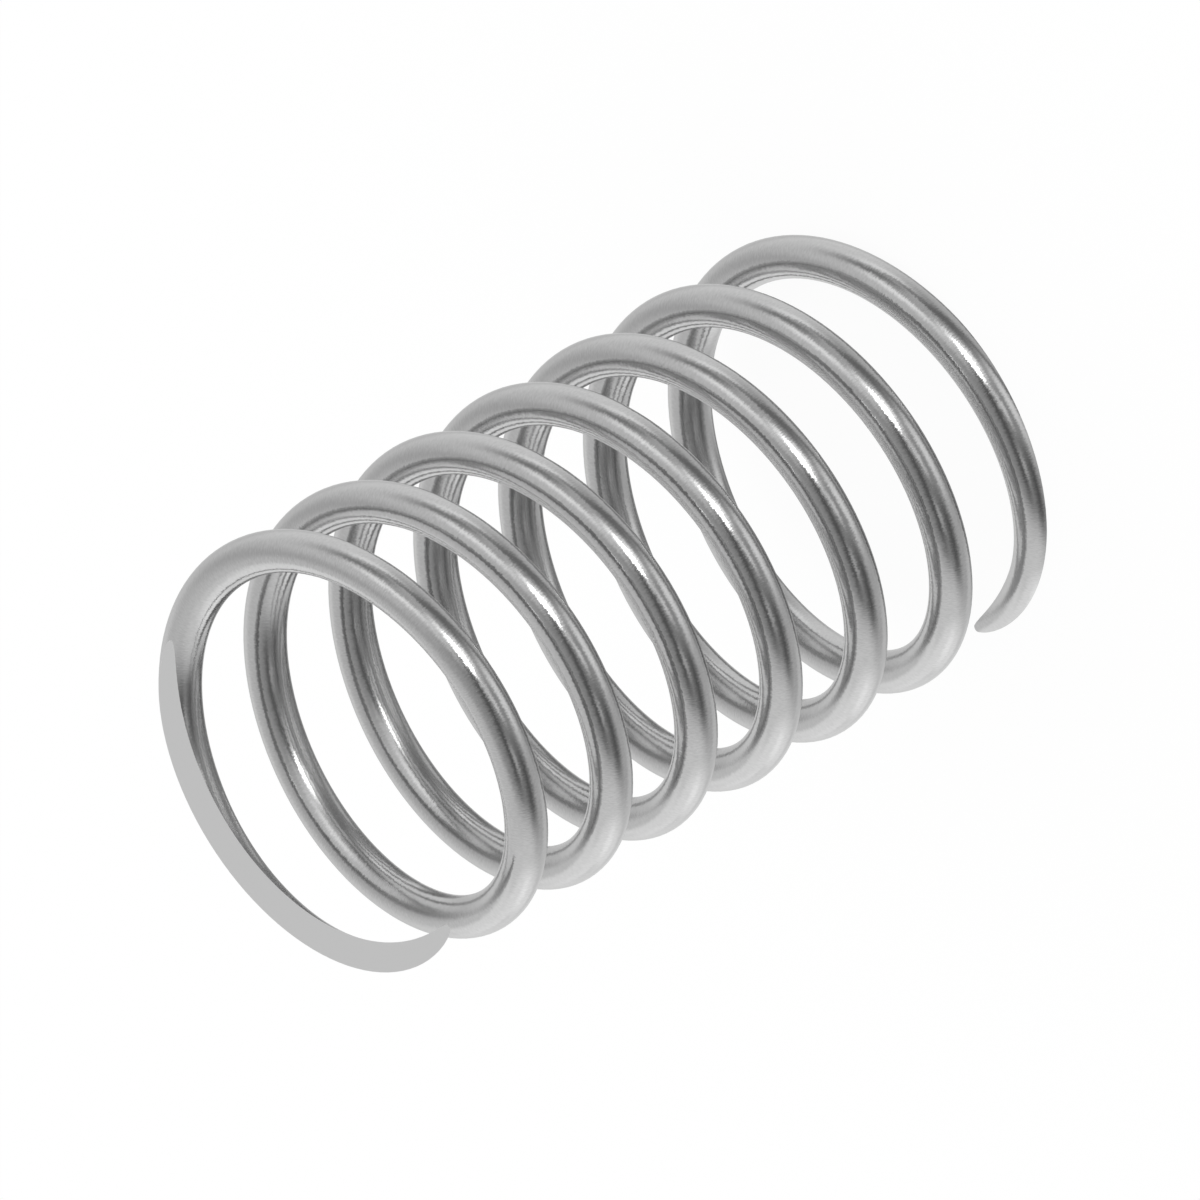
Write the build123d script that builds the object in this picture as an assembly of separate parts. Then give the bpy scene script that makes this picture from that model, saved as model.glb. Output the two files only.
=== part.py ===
from build123d import *

import math
import os

# A compression spring, coiled right-hand from one length of round steel wire. The coils
# stand open at an even pitch, and each end is ground flat and square to the axis. At the
# top the last part of a turn is laid flatter before grinding, so its ground face is the
# longer one. Each ground face runs out to a thin tip, which is stoned off square so that
# no feather edge is left. The spring stands on its bottom end. The origin is on the
# spring's axis in the bottom ground plane, +Z runs up the axis, and +X points to the
# place where the wire's centre line comes up through that plane.

# Driving dimensions, in millimetres and degrees.
wire_diameter = 2.5
outside_diameter = 27.0
pitch = 6.875
free_length = 45.45
closing_pitch = 4.7
closing_bend = 30.0
tip_thickness = 0.03

# Places that follow from them.
wire_radius = wire_diameter / 2
mean_radius = outside_diameter / 2 - wire_radius
# The wire's centre line ends this far outside each ground plane, where the grinding has
# left only the tip's thickness of the wire.
end_overrun = wire_radius - tip_thickness


def turned(rise, lead):
    """Degrees round the axis in which the wire climbs a rise at a given lead."""
    return 360 * rise / lead


def climbed(angle, lead):
    """Height that the wire climbs over an angle at a given lead."""
    return lead * angle / 360


def line_point(angle, height):
    """Point of the wire's centre line at an angle round the axis and a height."""
    return Vector(mean_radius, 0, height).rotate(Axis.Z, angle)


def line_slope(angle, lead):
    """Way that the centre line goes for each radian round the axis."""
    return Vector(0, mean_radius, lead / (2 * math.pi)).rotate(Axis.Z, angle)


def coil_run(angle, height, lead, rise):
    """Helical run of the centre line that starts at an angle and a height."""
    run = Helix(pitch=lead, height=rise, radius=mean_radius)
    return Pos(0, 0, height) * Rot(0, 0, angle) * run


def easing_bend(start_angle, start_height, end_height):
    """Short stretch of the centre line that eases it from the pitch to the closing pitch.

    It is one cubic curve, tangent to both runs. The handle length is the one with which
    such a curve follows a circular arc.
    """
    end_angle = start_angle + closing_bend
    handle = 4 / 3 * math.tan(math.radians(closing_bend) / 4)
    start = line_point(start_angle, start_height)
    end = line_point(end_angle, end_height)
    return Bezier(
        start,
        start + line_slope(start_angle, pitch) * handle,
        end - line_slope(end_angle, closing_pitch) * handle,
        end,
    )


def wire_line():
    """Centre line of the whole wire, from the bottom tip to the top one."""
    bend_start_height = free_length - climbed(closing_bend / 2, pitch)
    bend_end_height = free_length + climbed(closing_bend / 2, closing_pitch)
    bend_start_angle = turned(bend_start_height, pitch)
    body = coil_run(
        turned(-end_overrun, pitch), -end_overrun, pitch, end_overrun + bend_start_height
    )
    bend = easing_bend(bend_start_angle, bend_start_height, bend_end_height)
    closing = coil_run(
        bend_start_angle + closing_bend,
        bend_end_height,
        closing_pitch,
        free_length + end_overrun - bend_end_height,
    )
    return Wire([body, bend, closing])


def coiled_wire(line):
    """Round wire swept along its centre line, with both ends still unground.

    The section's seam faces the axis, so that it runs along the inside of the coils.
    """
    start = line @ 0
    to_axis = Vector(-start.X, -start.Y, 0)
    section = Plane(origin=start, x_dir=to_axis, z_dir=line % 0) * Circle(wire_radius)
    return sweep(section, path=line, is_frenet=True)


def between_ground_planes():
    """Space between the two grinding planes, wider than the spring."""
    width = 2 * outside_diameter
    return Box(width, width, free_length, align=(Align.CENTER, Align.CENTER, Align.MIN))


line = wire_line()
spring_coil = coiled_wire(line) & between_ground_planes()

os.makedirs("parts", exist_ok=True)
export_step(spring_coil, "parts/spring_coil.step")

wire_section = math.pi * wire_radius**2
print("centre line", round(line.length, 2), "mm, turns", round(turned(free_length, pitch) / 360, 3))
print("ground spring", round(spring_coil.volume, 1), "mm3, as a length of wire",
      round(spring_coil.volume / wire_section, 1), "mm")
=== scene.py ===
"""Dresses the compression spring and shows it in a photographer's studio.

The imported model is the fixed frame. The script winds the spring's wire as a mesh of its own, grinds both
ends flat and gives the drawn wire and the ground ends their finishes. The studio is a white room with soft
boxes, windows and dark flags hung round it, and the camera is isometric. Sizes of the spring are in
millimetres, as on its drawing, and go into the mesh in metres. A point's place on the wire is given by the
angle that the wire has turned through, which is 0 where its centre line comes up through the bottom ground
plane.
"""

import logging
import math
from dataclasses import dataclass
from enum import Enum, IntEnum

import bpy
from mathutils import Matrix, Vector


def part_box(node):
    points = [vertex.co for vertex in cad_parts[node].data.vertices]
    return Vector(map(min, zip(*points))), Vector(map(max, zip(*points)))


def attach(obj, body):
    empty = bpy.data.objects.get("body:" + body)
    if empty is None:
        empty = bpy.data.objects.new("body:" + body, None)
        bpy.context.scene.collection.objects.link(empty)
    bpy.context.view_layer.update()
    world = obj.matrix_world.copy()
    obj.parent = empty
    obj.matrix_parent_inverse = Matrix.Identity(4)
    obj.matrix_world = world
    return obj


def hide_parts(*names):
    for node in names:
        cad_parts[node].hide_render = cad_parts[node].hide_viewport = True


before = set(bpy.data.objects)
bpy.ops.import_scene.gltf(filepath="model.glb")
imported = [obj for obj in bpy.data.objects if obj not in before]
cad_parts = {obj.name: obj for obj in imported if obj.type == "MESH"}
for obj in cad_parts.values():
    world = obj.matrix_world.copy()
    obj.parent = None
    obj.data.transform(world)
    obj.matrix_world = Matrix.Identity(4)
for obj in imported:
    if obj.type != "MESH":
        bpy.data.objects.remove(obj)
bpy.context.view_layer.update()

LOG = logging.getLogger("compression_spring")
MM = 0.001
FULL_TURN = 2 * math.pi
BODY = "root"
COIL_NODE = "spring_coil"


class SpringEnd(Enum):
    """The two ground ends. The value is the way along the axis that the ground face looks."""

    BOTTOM = -1
    TOP = 1


class FinishSlot(IntEnum):
    """The material slots of the wire's mesh."""

    DRAWN = 0
    GROUND = 1


def linear_colour(hex_code: str) -> tuple[float, float, float, float]:
    """Turns an sRGB colour into the linear one that a shader socket takes.

    Args:
        hex_code: The colour as "#RRGGBB".

    Returns:
        Linear red, green and blue, and an alpha of 1.
    """
    shares = [int(hex_code[at : at + 2], 16) / 255 for at in (1, 3, 5)]
    red, green, blue = (s / 12.92 if s <= 0.04045 else ((s + 0.055) / 1.055) ** 2.4 for s in shares)
    return red, green, blue, 1.0


def add_node(
    tree: bpy.types.NodeTree, kind: str, inputs: dict[int | str, object] | None = None, **settings: object
) -> bpy.types.Node:
    """Adds a shader node with its settings, values and links.

    Args:
        tree: The node tree that takes the node.
        kind: The node's type name.
        inputs: What each input gets, by its name or number: an output socket is linked, anything else is set.
        settings: The node's own properties.

    Returns:
        The new node.
    """
    node = tree.nodes.new(kind)
    for name, value in settings.items():
        setattr(node, name, value)
    for socket, value in (inputs or {}).items():
        if isinstance(value, bpy.types.NodeSocket):
            tree.links.new(value, node.inputs[socket])
        else:
            node.inputs[socket].default_value = value
    return node


@dataclass(frozen=True)
class WireLine:
    """The centre line of the coiled wire: an even helix that eases into a flatter one at the top.

    Radii, lengths, pitches, the overrun and the rounding are in millimetres, and the bend is in degrees.
    """

    mean_radius: float
    free_length: float
    pitch: float
    closing_pitch: float
    closing_bend: float
    end_overrun: float
    end_rounding: float

    @property
    def slope(self) -> float:
        """Rise of the open coils for each radian."""
        return self.pitch / FULL_TURN

    @property
    def closing_slope(self) -> float:
        """Rise of the closing coil for each radian."""
        return self.closing_pitch / FULL_TURN

    @property
    def lead_angle(self) -> float:
        """Angle in radians at which the open coils climb."""
        return math.atan(self.slope / self.mean_radius)

    @property
    def top_crossing(self) -> float:
        """Angle where the line meets the top ground plane, in the middle of the bend."""
        return self.free_length / self.slope

    @property
    def start_angle(self) -> float:
        """Angle at which the wire starts, just under the bottom ground plane."""
        return -self.end_overrun / self.slope - self.end_rounding / self.mean_radius

    @property
    def end_angle(self) -> float:
        """Angle at which the wire ends, just over the top ground plane."""
        run_out = self.end_overrun / self.closing_slope
        return self.top_crossing + run_out + self.end_rounding / self.mean_radius

    def height(self, angle: float) -> float:
        """Gives the line's height.

        Args:
            angle: The angle that the wire has turned through, in radians.

        Returns:
            The height in millimetres.
        """
        bend = math.radians(self.closing_bend)
        past_bend_start = angle - (self.top_crossing - bend / 2)
        if past_bend_start <= 0:
            return self.slope * angle
        if past_bend_start >= bend:
            return self.free_length + self.closing_slope * (angle - self.top_crossing)
        eased = (self.closing_slope - self.slope) * past_bend_start**2 / (2 * bend)
        return self.slope * angle + eased

    def angle_near(self, point: Vector) -> float:
        """Finds the angle of the coil that a point belongs to.

        Args:
            point: A point in or on the wire, in millimetres.

        Returns:
            The point's angle in radians, with the full turns below it.
        """
        round_axis = math.atan2(point.y, point.x)
        turns = round((point.z / self.slope - round_axis) / FULL_TURN)
        angles = [round_axis + FULL_TURN * (turns + step) for step in (-1, 0, 1)]
        return min(angles, key=lambda angle: abs(self.height(angle) - point.z))


@dataclass(frozen=True)
class DrawnSteel:
    """Bright hard-drawn spring steel wire.

    The eye sees a soft mirror: long bands of light run along the wire, and a fine grain that lies across it
    breaks their edges. The inside of the coils is drawn a little duller. The real grain may be finer than a
    pixel of the render, so its cells are drawn as wide and as long as they need to be to show.

    Widths, lengths, depths and sizes are in millimetres. The grain's tip, in radians, is how far it leans the
    surface to either side. The side fade is how far out or in from the centre line the wire has its outer or
    inner roughness. A range is the part of a noise that is spread over its two limits.
    """

    dark_grain: str = "#B9B9B9"
    light_grain: str = "#C7C7C7"
    roughness: float = 0.12
    inner_roughness: float = 0.17
    roughness_spread: float = 0.02
    grain_width: float = 0.08
    grain_length: float = 0.24
    grain_depth: float = 0.002
    grain_tip: float = 0.12
    grain_seed: float = 3.0
    patch_size: float = 3.0
    patch_range: tuple[float, float] = (0.35, 0.65)
    faintest_patch: float = 0.85
    boldest_patch: float = 1.1
    cloud_size: float = 2.5
    cloud_range: tuple[float, float] = (0.3, 0.7)
    side_fade: float = 0.6

    def material(self, rise: float) -> bpy.types.Material:
        """Builds the node material. It reads the wire's own coordinates, so that the grain follows the coils.

        Args:
            rise: How far the coils climb for each radian, in millimetres.

        Returns:
            The material.
        """
        made = bpy.data.materials.new("drawn_spring_steel")
        made.use_nodes = True
        tree = made.node_tree
        tree.nodes.clear()
        place = add_node(tree, "ShaderNodeAttribute", attribute_name=SpringWire.PLACE)
        across = 1 / self.grain_length
        along = 1 / self.grain_width
        stretched = add_node(
            tree, "ShaderNodeMapping", {"Vector": place.outputs["Vector"], "Scale": (across, across, along)}
        )
        grain = add_node(
            tree,
            "ShaderNodeTexNoise",
            {"Vector": stretched.outputs["Vector"], "Scale": 1.0, "Detail": 0.0},
        )
        clouds = add_node(
            tree,
            "ShaderNodeTexNoise",
            {"Vector": place.outputs["Vector"], "Scale": 1 / self.cloud_size, "Detail": 2.0},
        )
        outward = add_node(tree, "ShaderNodeSeparateXYZ", {"Vector": place.outputs["Vector"]}).outputs["X"]
        dulled = add_node(
            tree,
            "ShaderNodeMapRange",
            {
                "Value": outward,
                "From Min": self.side_fade,
                "From Max": -self.side_fade,
                "To Min": self.roughness,
                "To Max": self.inner_roughness,
            },
        )
        spread = add_node(
            tree,
            "ShaderNodeMapRange",
            {
                "Value": clouds.outputs["Fac"],
                "From Min": self.cloud_range[0],
                "From Max": self.cloud_range[1],
                "To Min": -self.roughness_spread,
                "To Max": self.roughness_spread,
            },
        )
        roughness = add_node(
            tree,
            "ShaderNodeMath",
            {0: dulled.outputs["Result"], 1: spread.outputs["Result"]},
            operation="ADD",
        )
        bump = add_node(
            tree,
            "ShaderNodeBump",
            {
                "Height": grain.outputs["Fac"],
                "Strength": 1.0,
                "Distance": self.grain_depth * MM,
                "Normal": self.tipped_sideways(tree, stretched.outputs["Vector"], rise),
            },
        )
        colour = add_node(
            tree,
            "ShaderNodeMix",
            {
                0: grain.outputs["Fac"],
                6: linear_colour(self.dark_grain),
                7: linear_colour(self.light_grain),
            },
            data_type="RGBA",
        )
        steel = add_node(
            tree,
            "ShaderNodeBsdfPrincipled",
            {
                "Base Color": colour.outputs[2],
                "Metallic": 1.0,
                "Roughness": roughness.outputs["Value"],
                "Normal": bump.outputs["Normal"],
            },
        )
        add_node(tree, "ShaderNodeOutputMaterial", {"Surface": steel.outputs["BSDF"]})
        return made

    def tipped_sideways(
        self, tree: bpy.types.NodeTree, stretched: bpy.types.NodeSocket, rise: float
    ) -> bpy.types.NodeSocket:
        """Tips the surface to and fro about the wire's own line, by the grain.

        The grain is fainter in some patches than in others.

        Args:
            tree: The material's node tree.
            stretched: The wire's own coordinates, stretched to the grain's cells.
            rise: How far the coils climb for each radian, in millimetres.

        Returns:
            The tipped normal.
        """
        point = add_node(tree, "ShaderNodeTexCoord")
        parts = add_node(tree, "ShaderNodeSeparateXYZ", {"Vector": point.outputs["Object"]})
        back = add_node(tree, "ShaderNodeMath", {0: parts.outputs["Y"], 1: -1.0}, operation="MULTIPLY")
        along = add_node(
            tree,
            "ShaderNodeCombineXYZ",
            {"X": back.outputs["Value"], "Y": parts.outputs["X"], "Z": rise * MM},
        )
        facing = add_node(tree, "ShaderNodeNewGeometry").outputs["Normal"]
        around = add_node(
            tree, "ShaderNodeVectorMath", {0: along.outputs["Vector"], 1: facing}, operation="CROSS_PRODUCT"
        )
        unit = add_node(tree, "ShaderNodeVectorMath", {0: around.outputs["Vector"]}, operation="NORMALIZE")
        waver = add_node(
            tree,
            "ShaderNodeTexNoise",
            {"Vector": stretched, "Scale": 1.0, "Detail": 1.0, "W": self.grain_seed},
            noise_dimensions="4D",
        )
        swing = add_node(
            tree,
            "ShaderNodeMapRange",
            {"Value": waver.outputs["Fac"], "To Min": -self.grain_tip, "To Max": self.grain_tip},
        )
        patches = add_node(
            tree,
            "ShaderNodeTexNoise",
            {"Vector": point.outputs["Object"], "Scale": 1 / (self.patch_size * MM)},
        )
        strength = add_node(
            tree,
            "ShaderNodeMapRange",
            {
                "Value": patches.outputs["Fac"],
                "From Min": self.patch_range[0],
                "From Max": self.patch_range[1],
                "To Min": self.faintest_patch,
                "To Max": self.boldest_patch,
            },
        )
        tip = add_node(
            tree,
            "ShaderNodeMath",
            {0: swing.outputs["Result"], 1: strength.outputs["Result"]},
            operation="MULTIPLY",
        )
        tipped = add_node(
            tree,
            "ShaderNodeVectorMath",
            {0: unit.outputs["Vector"], 1: tip.outputs["Value"], 2: facing},
            operation="MULTIPLY_ADD",
        )
        return add_node(
            tree, "ShaderNodeVectorMath", {0: tipped.outputs["Vector"]}, operation="NORMALIZE"
        ).outputs["Vector"]


@dataclass(frozen=True)
class GroundSteel:
    """The same steel where the grinding wheel has cut it: even and satin, with very fine parallel lines.

    The lines' spacing, length and depth are in millimetres, and their turn round the axis is in degrees.
    """

    colour: str = "#D1D1D1"
    roughness: float = 0.3
    line_spacing: float = 0.12
    line_length: float = 9.0
    line_depth: float = 0.0003
    line_turn: float = 20.0

    def material(self) -> bpy.types.Material:
        """Builds the node material on Object coordinates, because both faces are cut by flat passes.

        Returns:
            The material.
        """
        made = bpy.data.materials.new("ground_spring_steel")
        made.use_nodes = True
        tree = made.node_tree
        tree.nodes.clear()
        place = add_node(tree, "ShaderNodeTexCoord")
        along, across = MM * self.line_length, MM * self.line_spacing
        stretched = add_node(
            tree,
            "ShaderNodeMapping",
            {
                "Vector": place.outputs["Object"],
                "Rotation": (0.0, 0.0, math.radians(self.line_turn)),
                "Scale": (1 / along, 1 / across, 1 / along),
            },
        )
        lines = add_node(
            tree,
            "ShaderNodeTexNoise",
            {"Vector": stretched.outputs["Vector"], "Scale": 1.0, "Detail": 2.0},
        )
        bump = add_node(
            tree,
            "ShaderNodeBump",
            {"Height": lines.outputs["Fac"], "Strength": 1.0, "Distance": self.line_depth * MM},
        )
        steel = add_node(
            tree,
            "ShaderNodeBsdfPrincipled",
            {
                "Base Color": linear_colour(self.colour),
                "Metallic": 1.0,
                "Roughness": self.roughness,
                "Normal": bump.outputs["Normal"],
            },
        )
        add_node(tree, "ShaderNodeOutputMaterial", {"Surface": steel.outputs["BSDF"]})
        return made


@dataclass
class SpringWire:
    """The one length of wire, wound right-hand and ground flat at both ends. Sizes are in millimetres.

    The cut threshold and the plane tolerance are in metres, as in the mesh. A face is taken as square to the
    axis when its normal's share along it is over the square share.
    """

    PLACE = "wire_place"
    CUT_THRESHOLD = 1e-7
    PLANE_TOLERANCE = 1e-6
    SQUARE_SHARE = 0.9999

    free_length: float
    wire_diameter: float = 2.5
    outside_diameter: float = 27.0
    pitch: float = 6.875
    closing_pitch: float = 4.7
    closing_bend: float = 30.0
    tip_thickness: float = 0.02
    end_rounding: float = 0.55
    rounding_segments: int = 8
    facets_round: int = 64
    facets_a_turn: int = 120

    def __post_init__(self) -> None:
        """Works out the centre line from the sizes."""
        self.radius = self.wire_diameter / 2
        self.line = WireLine(
            mean_radius=self.outside_diameter / 2 - self.radius,
            free_length=self.free_length,
            pitch=self.pitch,
            closing_pitch=self.closing_pitch,
            closing_bend=self.closing_bend,
            end_overrun=self.radius - self.tip_thickness,
            end_rounding=self.end_rounding,
        )

    def build(self) -> bpy.types.Object:
        """Winds, closes and grinds the wire, and dresses it.

        Returns:
            The finished piece, standing for the CAD coil.
        """
        coil = self.wind()
        self.lay_closing_coil(coil)
        for end in SpringEnd:
            self.grind(coil, end)
        self.dress(coil)
        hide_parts(COIL_NODE)
        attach(coil, BODY)
        return coil

    def wind(self) -> bpy.types.Object:
        """Winds a circle of the wire's size up the axis at the open coils' pitch.

        Both ends of the wire are closed, and their rims are rounded.

        Returns:
            The wound wire, not ground yet.
        """
        line = self.line
        start = line.start_angle
        bpy.ops.object.select_all(action="DESELECT")
        bpy.ops.mesh.primitive_circle_add(
            vertices=self.facets_round,
            radius=self.radius * MM,
            location=(
                line.mean_radius * math.cos(start) * MM,
                line.mean_radius * math.sin(start) * MM,
                line.height(start) * MM,
            ),
            rotation=(math.pi / 2 + line.lead_angle, 0.0, start),
        )
        coil = bpy.context.object
        coil.name = coil.data.name = "coiled_wire"
        bpy.ops.object.transform_apply(location=True, rotation=True, scale=True)
        turned = line.end_angle - start
        winding = coil.modifiers.new("winding", "SCREW")
        winding.axis = "Z"
        winding.angle = turned
        winding.screw_offset = line.slope * turned * MM
        winding.steps = winding.render_steps = round(self.facets_a_turn * turned / FULL_TURN)
        winding.use_smooth_shade = True
        bpy.ops.object.modifier_apply(modifier=winding.name)
        bpy.ops.object.mode_set(mode="EDIT")
        bpy.ops.mesh.select_all(action="SELECT")
        bpy.ops.mesh.fill_holes(sides=0)
        bpy.ops.mesh.normals_make_consistent(inside=False)
        bpy.ops.mesh.select_all(action="DESELECT")
        bpy.ops.object.mode_set(mode="OBJECT")
        for face in coil.data.polygons:
            face.select = len(face.vertices) > 4
        bpy.ops.object.mode_set(mode="EDIT")
        bpy.ops.mesh.region_to_loop()
        bpy.ops.mesh.bevel(
            offset=self.end_rounding * MM, segments=self.rounding_segments, profile=0.5, affect="EDGES"
        )
        bpy.ops.mesh.select_all(action="DESELECT")
        bpy.ops.object.mode_set(mode="OBJECT")
        return coil

    def lay_closing_coil(self, coil: bpy.types.Object) -> None:
        """Lays the top end of the wire down from the open coils' climb to the closing coil's.

        Args:
            coil: The wound wire.
        """
        line = self.line
        for vertex in coil.data.vertices:
            point = vertex.co / MM
            turns = round((point.z / line.slope - math.atan2(point.y, point.x)) / FULL_TURN)
            angle = math.atan2(point.y, point.x) + FULL_TURN * turns
            vertex.co.z += (line.height(angle) - line.slope * angle) * MM

    def grind(self, coil: bpy.types.Object, end: SpringEnd) -> None:
        """Cuts one end flat and square to the axis, and gives the new face the ground finish's slot.

        Args:
            coil: The wound wire.
            end: The end to cut.
        """
        height = self.free_length * MM if end is SpringEnd.TOP else 0.0
        while len(coil.data.materials) < len(FinishSlot):
            coil.data.materials.append(None)
        bpy.ops.object.mode_set(mode="EDIT")
        bpy.ops.mesh.select_all(action="SELECT")
        bpy.ops.mesh.bisect(
            plane_co=(0.0, 0.0, height),
            plane_no=(0.0, 0.0, float(end.value)),
            use_fill=True,
            clear_outer=True,
            threshold=self.CUT_THRESHOLD,
        )
        bpy.ops.mesh.select_all(action="DESELECT")
        bpy.ops.object.mode_set(mode="OBJECT")
        for face in coil.data.polygons:
            looks_along_axis = face.normal.z * end.value > self.SQUARE_SHARE
            if looks_along_axis and abs(face.center.z - height) < self.PLANE_TOLERANCE:
                face.material_index = FinishSlot.GROUND
                face.use_smooth = False
                face.select = True
        bpy.ops.object.mode_set(mode="EDIT")
        bpy.ops.mesh.region_to_loop()
        bpy.ops.mesh.mark_sharp()
        bpy.ops.mesh.select_all(action="DESELECT")
        bpy.ops.object.mode_set(mode="OBJECT")

    def dress(self, coil: bpy.types.Object) -> None:
        """Gives the wire its finishes and its own coordinates: out and up in its section, and along it.

        Args:
            coil: The ground wire.
        """
        line = self.line
        place = coil.data.attributes.new(self.PLACE, "FLOAT_VECTOR", "POINT")
        arc = math.hypot(line.mean_radius, line.slope)
        for vertex, entry in zip(coil.data.vertices, place.data):
            point = vertex.co / MM
            angle = line.angle_near(point)
            outward = math.hypot(point.x, point.y) - line.mean_radius
            entry.vector = (outward, point.z - line.height(angle), arc * angle)
        coil.data.materials[FinishSlot.DRAWN] = DrawnSteel().material(line.slope)
        coil.data.materials[FinishSlot.GROUND] = GroundSteel().material()


@dataclass(frozen=True)
class Sight:
    """What the world's nodes know of a reflected point of the room, in the room's own front, right and up."""

    way: bpy.types.NodeSocket
    azimuth: bpy.types.NodeSocket
    elevation: bpy.types.NodeSocket


@dataclass(frozen=True)
class Panel:
    """A wall, soft box, window or dark flag of the studio, as the spring sees it.

    Its place is an azimuth, from the camera's side round to the picture's right, and an elevation. Places,
    sizes and blurs are in degrees. Level 1 is white.
    """

    name: str
    azimuth: float
    elevation: float
    width: float
    height: float
    level: float
    side_blur: float
    end_blur: float

    def cover(self, tree: bpy.types.NodeTree, sight: Sight) -> bpy.types.NodeSocket:
        """Builds the nodes that give the share of the room that the panel covers.

        Args:
            tree: The world's node tree.
            sight: The seen point.

        Returns:
            The share, which fades from 1 to 0 over the blur of the panel's edges.
        """
        aside = add_node(
            tree, "ShaderNodeMath", {0: sight.azimuth, 1: math.radians(self.azimuth)}, operation="SUBTRACT"
        )
        nearest = add_node(
            tree, "ShaderNodeMath", {0: aside.outputs["Value"], 1: math.pi, 2: -math.pi}, operation="WRAP"
        )
        above = add_node(
            tree,
            "ShaderNodeMath",
            {0: sight.elevation, 1: math.radians(self.elevation)},
            operation="SUBTRACT",
        )
        across = fade(tree, nearest.outputs["Value"], self.width, self.side_blur)
        upright = fade(tree, above.outputs["Value"], self.height, self.end_blur)
        share = add_node(tree, "ShaderNodeMath", {0: across, 1: upright}, operation="MULTIPLY")
        return share.outputs["Value"]


@dataclass(frozen=True)
class RoundLight:
    """A round lamp or reflector of the studio, as the spring sees it.

    Its place, diameter and blur are in degrees. Level 1 is white.
    """

    name: str
    azimuth: float
    elevation: float
    diameter: float
    level: float
    blur: float

    def cover(self, tree: bpy.types.NodeTree, sight: Sight) -> bpy.types.NodeSocket:
        """Builds the nodes that give the share of the room that the light covers.

        Args:
            tree: The world's node tree.
            sight: The seen point.

        Returns:
            The share, which fades from 1 to 0 over the blur of the light's rim.
        """
        turn, rise = math.radians(self.azimuth), math.radians(self.elevation)
        middle = (math.cos(rise) * math.cos(turn), math.cos(rise) * math.sin(turn), math.sin(rise))
        nearness = add_node(
            tree, "ShaderNodeVectorMath", {0: sight.way, 1: middle}, operation="DOT_PRODUCT"
        )
        apart = add_node(tree, "ShaderNodeMath", {0: nearness.outputs["Value"]}, operation="ARCCOSINE")
        return fade(tree, apart.outputs["Value"], self.diameter, self.blur)


def fade(
    tree: bpy.types.NodeTree, offset: bpy.types.NodeSocket, size: float, blur: float
) -> bpy.types.NodeSocket:
    """Builds the nodes that are 1 within a size and 0 outside it.

    Args:
        tree: The node tree.
        offset: The distance from the middle, to either side, in radians.
        size: The full size, in degrees.
        blur: The width of the soft edge, in degrees.

    Returns:
        The share from 1 to 0.
    """
    distance = add_node(tree, "ShaderNodeMath", {0: offset}, operation="ABSOLUTE")
    return add_node(
        tree,
        "ShaderNodeMapRange",
        {
            "Value": distance.outputs["Value"],
            "From Min": math.radians(size + blur) / 2,
            "From Max": math.radians(size - blur) / 2,
        },
        interpolation_type="SMOOTHSTEP",
    ).outputs["Result"]


@dataclass(frozen=True)
class IsometricCamera:
    """An isometric view with the middle of the spring's axis in the middle of the picture.

    The turn is round +Z from +X. The roll lays the spring's upright axis aslant in the picture, with its top
    end nearest, at the lower left. Both are in degrees, as is the elevation. The picture's side and the
    distance are in millimetres.
    """

    turn: float = 31.13
    elevation: float = math.degrees(math.atan(1 / math.sqrt(2)))
    roll: float = -120.0
    picture_side: float = 68.73
    distance: float = 400.0

    def axes(self) -> Matrix:
        """Works out the picture's own axes.

        Returns:
            The picture's right, its up and the way back to the viewer, as the columns of a matrix.
        """
        upright = Matrix.Rotation(math.radians(self.turn + 90), 3, "Z")
        tipped = Matrix.Rotation(math.radians(90 - self.elevation), 3, "X")
        rolled = Matrix.Rotation(math.radians(self.roll), 3, "Z")
        return upright @ tipped @ rolled

    def place(self, middle: Vector) -> None:
        """Adds the camera and makes it the scene's own.

        Args:
            middle: The middle of the spring's axis, in metres.
        """
        lens = bpy.data.cameras.new("isometric_camera")
        lens.type = "ORTHO"
        lens.ortho_scale = self.picture_side * MM
        camera = bpy.data.objects.new("isometric_camera", lens)
        bpy.context.scene.collection.objects.link(camera)
        axes = self.axes()
        stand = middle + axes @ Vector((0.0, 0.0, self.distance * MM))
        camera.matrix_world = Matrix.Translation(stand) @ axes.to_4x4()
        bpy.context.scene.camera = camera


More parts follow.
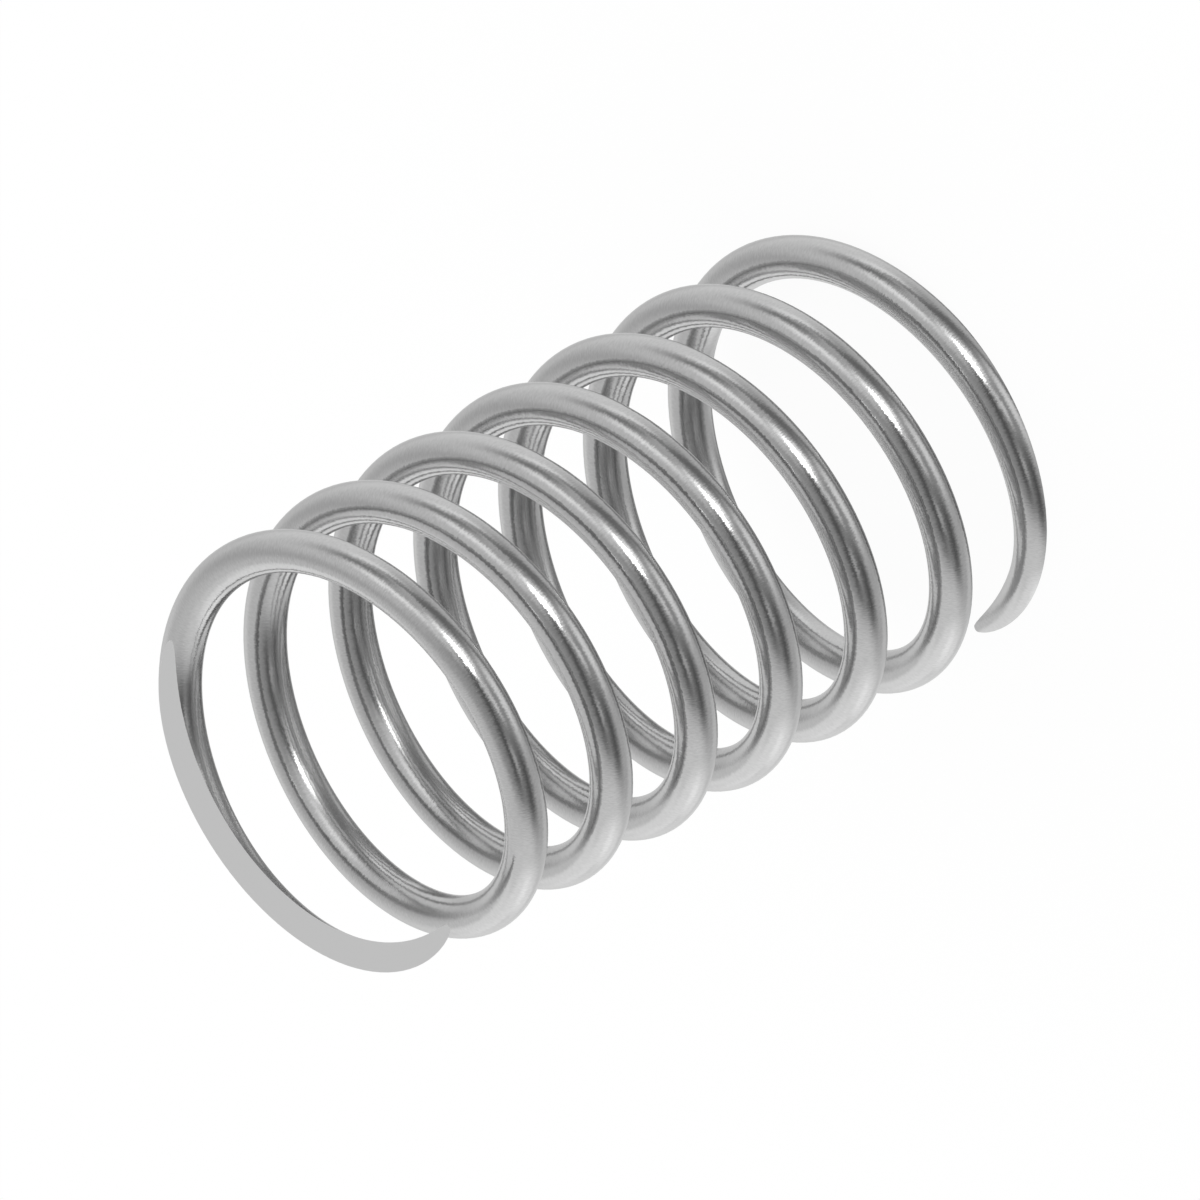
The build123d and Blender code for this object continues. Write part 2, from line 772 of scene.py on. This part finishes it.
@dataclass
class Studio:
    """The white room round the spring and the pale floor under it.

    The panels were placed and graded for this one camera, one over the other in this order, until the bands
    of light and dark on the wire stood where they should. They are no plan of a real room. The walls' level
    is that of the room where no panel covers it.
    """

    camera: IsometricCamera
    floor_radius: float = 600.0
    floor_sides: int = 96
    floor_colour: str = "#FFFFFF"
    shadow_share: float = 0.06
    walls: float = 0.74
    gain: float = 1.1
    panels: tuple[Panel | RoundLight, ...] = (
        Panel("floor", 0, -90, 360, 63, 1.06, 1, 20),
        Panel("back_floor", 175, -72, 70, 36, 0.92, 40, 18),
        Panel("left_back_floor", -134, -57, 44, 18, 0.88, 40, 16),
        RoundLight("floor_glow", 45, -76, 18, 1.24, 14),
        Panel("front_floor", -35, -51, 150, 12, 0.86, 40, 14),
        RoundLight("left_floor_glow", -92, -59, 24, 1.02, 10),
        Panel("left_floor", -132, -32, 50, 30, 0.86, 30, 20),
        Panel("ceiling", 0, 90, 360, 60, 0.48, 1, 20),
        Panel("front_ceiling", -20, 76, 90, 20, 0.56, 50, 18),
        Panel("back_wall", 180, 28, 90, 74, 0.88, 60, 14),
        Panel("back_window", -176, 57, 40, 12, 1.08, 40, 12),
        Panel("back_foot", 172, -26, 92, 60, 0.66, 40, 24),
        Panel("right_floor", 158, -53, 40, 22, 0.80, 40, 16),
        Panel("left_flag", -106, 64, 42, 38, 0.24, 56, 34),
        Panel("left_low_wall", -75, -6, 100, 30, 0.56, 50, 30),
        Panel("left_softbox", -54, 49.5, 58, 15, 1.24, 46, 24),
        Panel("right_wall", 124, 15, 72, 80, 0.60, 30, 30),
        Panel("right_ceiling", 108, 66, 66, 52, 0.20, 60, 34),
        Panel("back_ceiling", 150, 80, 60, 16, 0.30, 40, 12),
        RoundLight("ceiling_lamp", 0, 90, 12, 0.58, 10),
        Panel("right_low_wall", 153, -20, 28, 34, 0.27, 16, 14),
        Panel("right_low_flag", 136, -9, 14, 20, 0.31, 18, 18),
        Panel("right_foot", 82, -24, 46, 46, 0.55, 24, 22),
        Panel("front_wall", 12, -3, 98, 60, 0.34, 50, 20),
        Panel("right_shade", 60, 26, 32, 34, 0.38, 30, 24),
        Panel("left_front_flag", 6, 8, 22, 64, 0.12, 24, 24),
        Panel("right_front_flag", 50, -14, 32, 44, 0.12, 36, 30),
        Panel("right_pillar", 119, 27, 14, 84, 0.20, 24, 30),
        RoundLight("window", 91, 21, 28, 0.97, 22),
        RoundLight("key_skirt", 48, 53, 15, 1.4, 16),
        RoundLight("key_glow", 13, 55, 26, 1.2, 14),
        RoundLight("key_light", 21, 48.8, 22, 4.0, 4),
        RoundLight("low_reflector", 21, -6, 12, 0.58, 14),
        RoundLight("high_reflector", 39, 25, 14, 0.90, 16),
    )

    def axes(self) -> Matrix:
        """Works out the room's own axes.

        The room stands upright in the picture: its up is the picture's up, tipped back by the camera's
        elevation, and its front is the way to the camera along its floor.

        Returns:
            The room's front, right and up, as the rows of a matrix.
        """
        right, up, back = self.camera.axes().transposed()
        tip = math.radians(self.camera.elevation)
        front = back * math.cos(tip) - up * math.sin(tip)
        return Matrix((front, right, up * math.cos(tip) + back * math.sin(tip)))

    def hang(self) -> None:
        """Builds the world: plain white, with the panels seen in the spring's reflections."""
        world = bpy.data.worlds.new("studio")
        bpy.context.scene.world = world
        world.cycles.sampling_method = "NONE"
        world.use_nodes = True
        tree = world.node_tree
        tree.nodes.clear()
        way = add_node(tree, "ShaderNodeTexCoord")
        turned = add_node(
            tree,
            "ShaderNodeMapping",
            {"Vector": way.outputs["Generated"], "Rotation": self.axes().to_euler("XYZ")},
            vector_type="VECTOR",
        )
        parts = add_node(tree, "ShaderNodeSeparateXYZ", {"Vector": turned.outputs["Vector"]})
        azimuth = add_node(
            tree, "ShaderNodeMath", {0: parts.outputs["Y"], 1: parts.outputs["X"]}, operation="ARCTAN2"
        )
        elevation = add_node(tree, "ShaderNodeMath", {0: parts.outputs["Z"]}, operation="ARCSINE")
        sight = Sight(turned.outputs["Vector"], azimuth.outputs["Value"], elevation.outputs["Value"])
        level = add_node(tree, "ShaderNodeValue").outputs["Value"]
        level.default_value = self.walls
        for panel in self.panels:
            level = add_node(
                tree,
                "ShaderNodeMix",
                {"Factor": panel.cover(tree, sight), "A": level, "B": panel.level},
                data_type="FLOAT",
            ).outputs["Result"]
        room = add_node(tree, "ShaderNodeMath", {0: level, 1: self.gain}, operation="MULTIPLY")
        rays = add_node(tree, "ShaderNodeLightPath")
        seen = add_node(
            tree,
            "ShaderNodeMix",
            {"Factor": rays.outputs["Is Glossy Ray"], "A": 1.0, "B": room.outputs["Value"]},
            data_type="FLOAT",
        )
        light = add_node(tree, "ShaderNodeBackground", {"Color": seen.outputs["Result"], "Strength": 1.0})
        add_node(tree, "ShaderNodeOutputWorld", {"Surface": light.outputs["Background"]})

    def lay_floor(self) -> None:
        """Lays the pale matt floor in the bottom ground plane. It takes the spring's shadow."""
        bpy.ops.object.select_all(action="DESELECT")
        bpy.ops.mesh.primitive_circle_add(
            vertices=self.floor_sides, radius=self.floor_radius * MM, fill_type="NGON"
        )
        floor = bpy.context.object
        floor.name = "studio_floor"
        matt = bpy.data.materials.new("matt_white_floor")
        matt.use_nodes = True
        tree = matt.node_tree
        tree.nodes.clear()
        white = linear_colour(self.floor_colour)
        paint = add_node(tree, "ShaderNodeBsdfDiffuse", {"Color": white})
        glow = add_node(tree, "ShaderNodeEmission", {"Color": white, "Strength": 1.0})
        rays = add_node(tree, "ShaderNodeLightPath")
        lit = add_node(
            tree,
            "ShaderNodeMath",
            {0: rays.outputs["Is Camera Ray"], 1: 1 - self.shadow_share},
            operation="MULTIPLY",
        )
        mixed = add_node(
            tree,
            "ShaderNodeMixShader",
            {0: lit.outputs["Value"], 1: paint.outputs["BSDF"], 2: glow.outputs["Emission"]},
        )
        add_node(tree, "ShaderNodeOutputMaterial", {"Surface": mixed.outputs["Shader"]})
        floor.data.materials.append(matt)
        floor.visible_glossy = False


def main() -> None:
    """Builds the spring and its studio in order, and reports each piece."""
    logging.basicConfig(level=logging.INFO, format="%(name)s: %(message)s")
    low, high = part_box(COIL_NODE)
    spring = SpringWire(free_length=round((high.z - low.z) / MM, 3)).build()
    LOG.info("%s has %d faces", spring.name, len(spring.data.polygons))
    camera = IsometricCamera()
    camera.place(Vector((0.0, 0.0, (low.z + high.z) / 2)))
    studio = Studio(camera)
    studio.hang()
    studio.lay_floor()
    LOG.info("studio hung with %d panels", len(studio.panels))
    view = bpy.context.scene.view_settings
    view.view_transform = "Standard"


if __name__ == "__main__":
    main()
